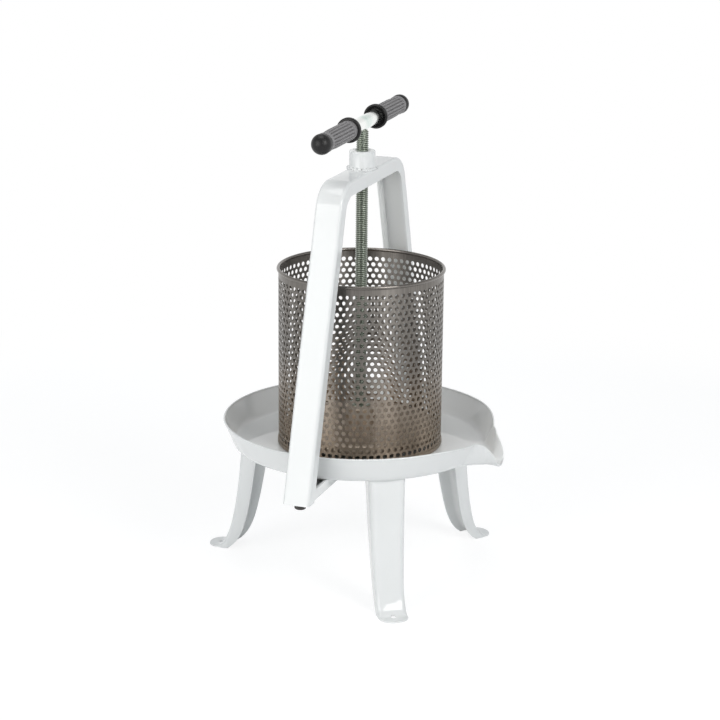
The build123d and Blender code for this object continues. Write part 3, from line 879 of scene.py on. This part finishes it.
# %% [markdown]
# ## Flanges and caps
# The flange keeps the hand off the bar, and the cap closes the end. Both are round mouldings, so an
# outline of arcs is turned. All grip pieces are made along Z and then laid on the bar, once for each end.

# %% Flange and cap profiles


def arc(centre, radius, start, end, count):
    """Points on an arc, as pairs like its centre; angles in degrees."""
    points = []
    for index in range(count):
        angle = radians(start + (end - start) * index / (count - 1))
        points.append((centre[0] + radius * cos(angle), centre[1] + radius * sin(angle)))
    return points


# Distance from the bar's axis, and along the bar from the screw axis.
flange_profile = [
    (9.1, 57.9), (9.1, 57.2), (10.0, 57.0), (11.0, 56.2), (13.4, 53.0),
    *arc((14.6, 53.4), 1.4, 200, 360, 7),
    *arc((14.4, 56.2), 1.6, 0, 90, 6),
    (12.4, 57.9),
]
cap_profile = [(0.0, 150.0), (8.9, 150.0), *arc((0.0, 158.0), 12.85, -42, 90, 22)]
flange_mesh = clean(turned("flange", flange_profile, steps=72, ring=True, centre=CENTRE_LINE))
cap_mesh = clean(turned("cap", cap_profile, steps=64, centre=CENTRE_LINE))

# %% Grips on the bar
HANDLE_TURN = radians(1.5)

grips = {"sleeve": sleeve_mesh, "flange": flange_mesh, "cap": cap_mesh}
at_bar = Matrix.Translation((axis.x, axis.y, bar_height))
laid_down = Matrix.Rotation(-pi / 2, 4, "X")
for end_name, turn in (("right", HANDLE_TURN + pi), ("left", HANDLE_TURN)):
    for kind, shape in grips.items():
        mesh = shape.copy()
        mesh.transform(at_bar @ Matrix.Rotation(turn, 4, "Z") @ laid_down)
        slot = "grip_grey" if kind == "sleeve" else "grip_black"
        stand_in(f"{end_name}_{kind}", mesh, "screw", slot, f"grip_{kind}_{end_name}")

# %% [markdown]
# ## The collecting pan
# The pan is one pressed sheet: a flat floor, a leaning wall and a spout drawn out of the wall like the
# lip of a jug. It could be sculpted, but its inner side is simply a height over each point of the plan.
# Bowl and spout are two such heights, and where they meet the lower one wins, with a small blend. The
# surface is walked along rays from the axis until it reaches the lip.

# %% Pan sizes
PAN_FLOOR = 172.0
PAN_SHEET = 1.5
WALL_FOOT = 164.45
WALL_LEAN = radians(22)
CORNER = 6.0
SPOUT_START = 136.0
SPOUT_ROOT = 148.0
SPOUT_JOINED = 166.0
SPOUT_SHOULDER = 174.7
SPOUT_TIP = 193.6
SPOUT_FALL = 11.0
SPOUT_BLEND = 4.0
BROAD, ROUND = 9.0, 3.0
ROUND_FROM, ROUND_AT = 160.0, 192.0
LIP_SPREAD = 1.25
# Height of the lip, and half the width of the spout at its lip, at distances from the axis.
LIP_HEIGHTS = [
    (130, 204), (145, 203.4), (156, 201.8), (168, 199), (174.7, 196.5), (178.8, 192.6), (183.5, 187.4),
    (186.6, 183), (188.9, 179.2), (192, 171.2), (193, 165.2), (193.6, 161),
]
LIP_HALVES = [
    (174.7, 36), (178.8, 28.4), (183.5, 24), (186.6, 21.6), (188.9, 19.5), (192, 15), (193, 11), (193.6, 0.5),
]


def held(share):
    """A share kept between 0 and 1."""
    return max(0.0, min(1.0, share))


def smooth_through(points):
    """Smooth curve through (place, value) points, as a function of the place."""
    slopes = [(b[1] - a[1]) / (b[0] - a[0]) for a, b in zip(points, points[1:])]
    tangents = [slopes[0]] + [(a + b) / 2 for a, b in zip(slopes, slopes[1:])] + [slopes[-1]]

    def read(place):
        place = max(points[0][0], min(points[-1][0], place))
        index = max(i for i in range(len(slopes)) if points[i][0] <= place)
        (start, first), (end, second) = points[index], points[index + 1]
        run = end - start
        share = (place - start) / run
        rest = 1 - share
        level = first * (1 + 2 * share) * rest**2 + second * (1 + 2 * rest) * share**2
        return level + run * share * rest * (tangents[index] * rest - tangents[index + 1] * share)

    return read


lip_height = smooth_through(LIP_HEIGHTS)
lip_half = smooth_through(LIP_HALVES)
print("lip at the spout's shoulder", lip_height(SPOUT_SHOULDER), "mm high")

# %% Pan heights


def step_between(value, low, high):
    """Smooth step from 0 at the low value to 1 at the high one."""
    share = held((value - low) / (high - low))
    return share * share * (3 - 2 * share)


def bowl_height(radius):
    """Floor, rounded corner and leaning wall."""
    centre = WALL_FOOT - CORNER * tan((pi / 2 - WALL_LEAN) / 2)
    if radius <= centre:
        return PAN_FLOOR
    if radius < centre + CORNER * cos(WALL_LEAN):
        return PAN_FLOOR + CORNER - sqrt(CORNER**2 - (radius - centre) ** 2)
    return PAN_FLOOR + (radius - WALL_FOOT) / tan(WALL_LEAN)


def channel_height(x, y):
    """The spout's channel: it falls towards its tip, and its broad section becomes a round one."""
    low = PAN_FLOOR - SPOUT_FALL * max(0.0, (x - SPOUT_ROOT) / (SPOUT_TIP - SPOUT_ROOT)) ** 0.8
    half_width = lip_half(x) + max(0.0, SPOUT_SHOULDER - x) * LIP_SPREAD
    broad_share = 1 - held((x - ROUND_FROM) / (ROUND_AT - ROUND_FROM))
    fullness = ROUND + (BROAD - ROUND) * broad_share**2
    return low + (lip_height(x) - low) * (abs(y) / half_width) ** fullness


def pan_height(x, y):
    """Height of the pan's inner side: the lower of bowl and channel, with a smooth change over."""
    bowl = bowl_height(hypot(x, y))
    if x <= SPOUT_START:
        return bowl
    channel = channel_height(x, y)
    width = SPOUT_BLEND * step_between(x, SPOUT_START, SPOUT_JOINED)
    share = held(0.5 + 0.5 * (channel - bowl) / width)
    return channel + (bowl - channel) * share - width * share * (1 - share)


def rim_reach(angle):
    """Distance from the axis at which the wall meets the lip, or the spout ends."""
    near, far = 140.0, 200.0
    for _ in range(40):
        tried = (near + far) / 2
        x, y = tried * cos(angle), tried * sin(angle)
        if pan_height(x, y) < lip_height(x):
            near = tried
        else:
            far = tried
    return min(near, SPOUT_TIP / cos(angle)) if abs(angle) < 0.5 else near


print("rim reach at the back and at the spout", round(rim_reach(pi), 2), round(rim_reach(0.0), 2))

# %% Pan surface
PAN_STEPS = 44
PAN_SMOOTH = 50
RAY_START = 20.0
RAY_CROWDING = 1.9


def fan(start, end, step):
    """Angles in radians from one to another in degrees, without the last."""
    return [radians(start + index * step) for index in range(round((end - start) / step))]


def pan_row(angle):
    """Inner points of the pan along a ray, closer together near the lip."""
    end = rim_reach(angle)
    row = []
    for step in range(PAN_STEPS):
        share = 1 - (1 - step / (PAN_STEPS - 1)) ** RAY_CROWDING
        reach = RAY_START + (end - RAY_START) * share
        x, y = reach * cos(angle), reach * sin(angle)
        row.append(Vector((x, y, pan_height(x, y))))
    return row


def offset_rows(rows, distance):
    """The same points moved off the surface, away from its upper side."""
    moved_rows = []
    for index, row in enumerate(rows):
        before, after = rows[index - 1], rows[(index + 1) % len(rows)]
        new_row = []
        for step, point in enumerate(row):
            along = row[min(step + 1, len(row) - 1)] - row[max(step - 1, 0)]
            normal = along.cross(after[step] - before[step]).normalized()
            new_row.append(point - normal * distance)
        moved_rows.append(new_row)
    return moved_rows


def to_frame(point):
    return axis + point * MM


pan_angles = fan(-24, -7.2, 0.6) + fan(-7.2, 7.2, 0.3) + fan(7.2, 24, 0.6) + fan(24, 336, 2.4)
inner_rows = [pan_row(angle) for angle in pan_angles]
outer_rows = offset_rows(inner_rows, PAN_SHEET)
loops = [[to_frame(row[step]) for row in inner_rows] for step in range(PAN_STEPS)]
loops += [[to_frame(row[step]) for row in outer_rows] for step in reversed(range(PAN_STEPS))]
pan_shell = clean(skin("pan_shell", loops), PAN_SMOOTH)

# %% [markdown]
# The edge of the pan is rolled into a small bead, which thins out towards the spout, where the sheet is
# only turned over. A bevelled curve could follow the lip, but a tube of loops is a closed mesh at once.

# %% Rolled edge
THIN_BEAD, FULL_BEAD = 0.9, 1.3
THIN_WITHIN, FULL_BEYOND = 16, 34


def tube(name, points, radii, sides):
    """Closed tube along a closed row of points."""
    loops = []
    for index, point in enumerate(points):
        ahead = (points[(index + 1) % len(points)] - points[index - 1]).normalized()
        side = ahead.cross(Vector((0, 0, 1))).normalized()
        top = side.cross(ahead)
        loop = []
        for step in range(sides):
            angle = tau * step / sides
            loop.append(point + (side * cos(angle) + top * sin(angle)) * radii[index])
        loops.append(loop)
    return skin(name, loops, ring=True)


edge_line = []
edge_radii = []
for angle, inner, outer in zip(pan_angles, inner_rows, outer_rows):
    edge_line.append(to_frame((inner[-1] + outer[-1]) / 2))
    from_spout = abs((degrees(angle) + 180) % 360 - 180)
    full_share = step_between(from_spout, THIN_WITHIN, FULL_BEYOND)
    edge_radii.append((THIN_BEAD + (FULL_BEAD - THIN_BEAD) * full_share) * MM)
bead_mesh = clean(tube("bead", edge_line, edge_radii, sides=12))
pan_mesh = smooth(merged("pan_sheet", pan_shell, bead_mesh), PAN_SMOOTH)
stand_in("pressed_pan", pan_mesh, "frame", "white_paint", "pan")

# %% [markdown]
# ## The legs
# Each leg is a pressed channel, open towards the middle, that narrows downwards and turns out into a
# foot with one hole. A bent strip would need a modifier for each fold. Instead its section is walked
# down a curve: the web stays on it while the flanges get shallower and vanish in the bend of the foot.

# %% Leg line
LEG_TOP = 170.5
LEG_SHEET = 2.0
LEG_STATIONS = 40
FOOT_STATIONS = 10
FOOT_END = 215.0
FOOT_HALF = 19.0
FOOT_ROUND = 17.0
LEG_CURVE = [(160.0, LEG_TOP), (168.0, 70.0), (180.0, 6.0), (201.0, LEG_SHEET)]


def on_curve(share):
    """Point at a share of the leg's Bezier curve."""
    rest = 1 - share
    a, b, c, d = map(Vector, LEG_CURVE)
    return a * rest**3 + b * 3 * rest**2 * share + c * 3 * rest * share**2 + d * share**3


leg_points = [on_curve(step / LEG_STATIONS) for step in range(LEG_STATIONS + 1)]
leg_run = sum((b - a).length for a, b in zip(leg_points, leg_points[1:]))
heel = leg_points[-1].x
for step in range(1, FOOT_STATIONS + 1):
    quarter = pi / 2 * step / FOOT_STATIONS
    leg_points.append(Vector((heel + (FOOT_END - heel) * sin(quarter), LEG_SHEET)))
print("leg line", len(leg_points), "stations, run", round(leg_run, 1), "mm")

# %% Leg section
ANKLE_WIDTH, TOP_GAIN, FOOT_GAIN = 35.0, 12.5, 2.6
ANKLE_LOW, ANKLE_HIGH = 3, 28
FLANGE_TOP, FLANGE_LOSS = 25.0, 7.0
FLANGE_FADE = 0.7
BEND, BEND_SHARE, LEAST_BEND = 7.0, 0.6, 0.05
FLAT_SHARE = 0.35
EDGE_DROP, EDGE_ROUND = 0.4, 0.3


def leg_width(point):
    """Width of the leg, which narrows downwards, spreads at the foot and ends in a half round."""
    beyond = point.x - (FOOT_END - FOOT_ROUND)
    if beyond > 0:
        return 2 * (FOOT_HALF - FOOT_ROUND + sqrt(max(0.0, FOOT_ROUND**2 - beyond**2)))
    spread = FOOT_GAIN * (1 - step_between(point.y, ANKLE_LOW, ANKLE_HIGH))
    return ANKLE_WIDTH + TOP_GAIN * (point.y / LEG_TOP) ** 0.8 + spread


def flange_depth(gone):
    """Depth of the flanges: nearly even down the leg, rounded off to the bare sheet at the heel."""
    share = min(1.0, gone / leg_run)
    faded = held((share - FLANGE_FADE) / (1 - FLANGE_FADE))
    return max(LEG_SHEET + 0.02, (FLANGE_TOP - FLANGE_LOSS * share) * sqrt(1 - faded**2.2))


def leg_section(width, depth):
    """Closed outline of web and flanges, as (across, inwards) points."""
    outer = min(BEND, depth * BEND_SHARE)
    inner = max(LEAST_BEND, outer - LEG_SHEET)
    half = width / 2
    inside = half - LEG_SHEET
    right_side = [
        (half * FLAT_SHARE, 0.0),
        *arc((half - outer, outer), outer, -90, 0, 10),
        (half, max(outer, depth - EDGE_DROP)),
        (half - EDGE_ROUND, depth),
        (inside + EDGE_ROUND, depth),
        (inside, max(LEG_SHEET + inner, depth - EDGE_DROP)),
        *arc((inside - inner, LEG_SHEET + inner), inner, 0, -90, 7),
        (half * FLAT_SHARE, LEG_SHEET),
    ]
    return right_side + [(-across, inwards) for across, inwards in reversed(right_side)]


print("section at the top", round(leg_width(leg_points[0]), 1), "by", round(flange_depth(0.0), 1), "mm")

# %% [markdown]
# The hole in the foot goes through flat metal, so one Boolean to a leg cuts it cleanly.

# %% Three legs
LEG_TURNS = {"front_right": -57.5, "front_left": 54.0, "rear": 180.0}
LEG_SMOOTH = 42
FOOT_HOLE_REACH, FOOT_HOLE_RADIUS = 199.5, 3.5
DRILL_ENDS = (-6.0, 8.0)


def leg_sheet(name):
    """One leg without its hole, in millimetres, on the side of +X."""
    loops = []
    gone = 0.0
    for index, point in enumerate(leg_points):
        before, after = leg_points[max(index - 1, 0)], leg_points[min(index + 1, len(leg_points) - 1)]
        gone += (point - before).length
        ahead = (after - before).normalized()
        inward = Vector((ahead.y, -ahead.x))
        if index == 0:
            inward = Vector((-1.0, 0.0))
        elif index > LEG_STATIONS:
            inward = Vector((0.0, -1.0))
        loop = []
        for across, inwards in leg_section(leg_width(point), flange_depth(gone)):
            height = max(0.0, point.y + inward.y * inwards)
            loop.append(Vector((point.x + inward.x * inwards, across, height)))
        loops.append(loop)
    return clean(skin(name, loops), LEG_SMOOTH)


def drilled(mesh, centre):
    """The leg with the hole in its foot."""
    low, high = DRILL_ENDS
    drill_profile = [(0.0, low), (FOOT_HOLE_RADIUS, low), (FOOT_HOLE_RADIUS, high), (0.0, high)]
    drill_mesh = clean(turned("drill", drill_profile, steps=32, centre=CENTRE_LINE))
    drill_mesh.transform(Matrix.Translation(centre))
    drill = put("drill", drill_mesh)
    leg = put("leg_blank", mesh)
    cut = leg.modifiers.new("hole", "BOOLEAN")
    cut.object = drill
    cut.solver = "EXACT"
    mesh = result_of(leg)
    bpy.data.objects.remove(drill)
    return mesh


for name, turn in LEG_TURNS.items():
    spin = Matrix.Rotation(radians(turn), 4, "Z")
    mesh = leg_sheet(f"{name}_leg_sheet")
    mesh.transform(Matrix.Translation(axis) @ spin @ Matrix.Scale(MM, 4))
    mesh = drilled(mesh, axis + spin @ Vector((FOOT_HOLE_REACH * MM, 0, 0)))
    stand_in(f"{name}_leg", smooth(mesh, LEG_SMOOTH), "frame", "white_paint", f"leg_{name}")

# %% [markdown]
# ## The weld of the screw nut
# The nut is a turned boss, welded on the arch. A weld is a row of overlapping drops. Set by hand they
# would take long, so Geometry Nodes set small flattened ones round the nut's foot, with a fixed seed for
# their sizes.

# %% Weld
nut_low, nut_high = [height / MM for height in heights("screw_nut")]
weld_sizes = {
    "Ring Radius": 17.6 * MM,
    "Height": (nut_low + 0.7) * MM,
    "Drops": 46,
    "Drop Radius": 2.3 * MM,
}
LEAST_DROP, LARGEST_DROP = (0.7, 0.7, 0.55), (1.35, 1.35, 1.25)
DROP_SEED = 7

tree, size = new_tree("weld_bead", weld_sizes)
ring = wire(tree, "GeometryNodeMeshCircle", {"Vertices": size["Drops"], "Radius": size["Ring Radius"]})
x, y = here(tree)
placed = moved(tree, ring, joined(x + axis.x, y + axis.y, size["Height"]))
drop = wire(tree, "GeometryNodeMeshUVSphere", {"Segments": 12, "Rings": 8, "Radius": size["Drop Radius"]})
draw = {"Min": LEAST_DROP, "Max": LARGEST_DROP, "Seed": DROP_SEED}
drop_scale = wire(tree, "FunctionNodeRandomValue", draw, data_type="FLOAT_VECTOR")
drop_seats = {"Points": placed, "Instance": drop, "Scale": drop_scale}
drops = wire(tree, "GeometryNodeInstanceOnPoints", drop_seats)
weld_mesh = clean(grow("weld", tree, weld_sizes, drops, enamel), angle=80)

# %% [markdown]
# Paint does not reach every pit of a weld, so dark specks stay along it. They could be painted on by
# hand, but a noise does it for any mesh, held close to the nut's foot by the height.

# %% Weld paint
SPECKS_BELOW, CLEAN_ABOVE = (nut_low + 1.5) * MM, (nut_low + 4.0) * MM

weld_paint = Finish("weld_paint")
height = weld_paint.from_axis()[2]
near_foot = between(height, 1.0, 0.0, SPECKS_BELOW, CLEAN_ABOVE)
bare = between(weld_paint.noise(330.0), 0.0, 1.0, 0.58, 0.66) * near_foot
coat = weld_paint.blend(weld_paint.noise(60.0), (0.80, 0.81, 0.805), (0.86, 0.868, 0.862))
weld_paint.colour(bare, coat, (0.13, 0.125, 0.12))
weld_paint.rough(bare, 0.1, 0.5)
weld_paint.bump(weld_paint.noise(420.0, 2.0) * near_foot, 0.4 * MM, 0.6)

# %% Nut
NUT_BORE, NUT_RADIUS, NUT_ROUND = 8.05, 16.8, 1.4

nut_profile = [
    (NUT_BORE, nut_low), (NUT_RADIUS + 0.4, nut_low), (NUT_RADIUS, nut_low + 1.5),
    (NUT_RADIUS, nut_high - 1.6),
    *arc((NUT_RADIUS - NUT_ROUND, nut_high - NUT_ROUND), NUT_ROUND, 8, 82, 6),
    (9.4, nut_high), (NUT_BORE, nut_high - 1.2),
]
nut_mesh = clean(turned("nut", nut_profile, steps=96, ring=True))
nut_mesh = smooth(merged("nut_and_weld", nut_mesh, weld_mesh), angle=45)
stand_in("welded_nut", nut_mesh, "frame", "white_paint", "screw_nut", finish=weld_paint)

# %% [markdown]
# ## The arch bolts
# Two hexagon bolts come from below through the crossbar into the lugs of the arch. The corners of a bolt
# head are turned off by a cone. A bevel would round its other edges as well, so each level of the head is
# a hexagon held inside a circle.

# %% Bolts
HEAD_HALF = 6.5
HEAD_HEIGHT = 5.3
SHANK = 4.0
WASHER_RADIUS = 8.0
BOLT_SMOOTH = 30

bolt_low, bolt_high = [height / MM for height in heights("arch_bolts")]
bolt_length = bolt_high - bolt_low
washer_low, washer_high = corners("arch_washers")
bolt_reach = (washer_high.y - washer_low.y) / 2 - WASHER_RADIUS * MM
# Limit of the radius and height above the head's lower face, level by level.
BOLT_LEVELS = [
    (0.01, 0.0), (5.9, 0.0), (6.6, 0.35), (7.2, 0.8), (9.0, 1.6), (9.0, HEAD_HEIGHT),
    (SHANK, HEAD_HEIGHT), (SHANK, bolt_length - 0.6), (SHANK - 0.6, bolt_length),
]


def hexagon_within(limit):
    """Radius of the head's hexagon at an angle, turned off at a limit."""
    sixth = pi / 3
    return lambda angle: min(limit, HEAD_HALF / cos((angle + sixth / 2) % sixth - sixth / 2))


bolt_meshes = []
for side in (-1, 1):
    centre = axis + Vector((0, side * bolt_reach, 0))
    loops = []
    for limit, level in BOLT_LEVELS:
        loops.append(level_loop(hexagon_within(limit), bolt_low + level, steps=48, centre=centre))
    bolt_meshes.append(clean(skin("bolt", loops), BOLT_SMOOTH))
bolt_mesh = smooth(merged("bolts", *bolt_meshes), BOLT_SMOOTH)
stand_in("hexagon_bolts", bolt_mesh, "frame", "bolt_metal", "arch_bolts")
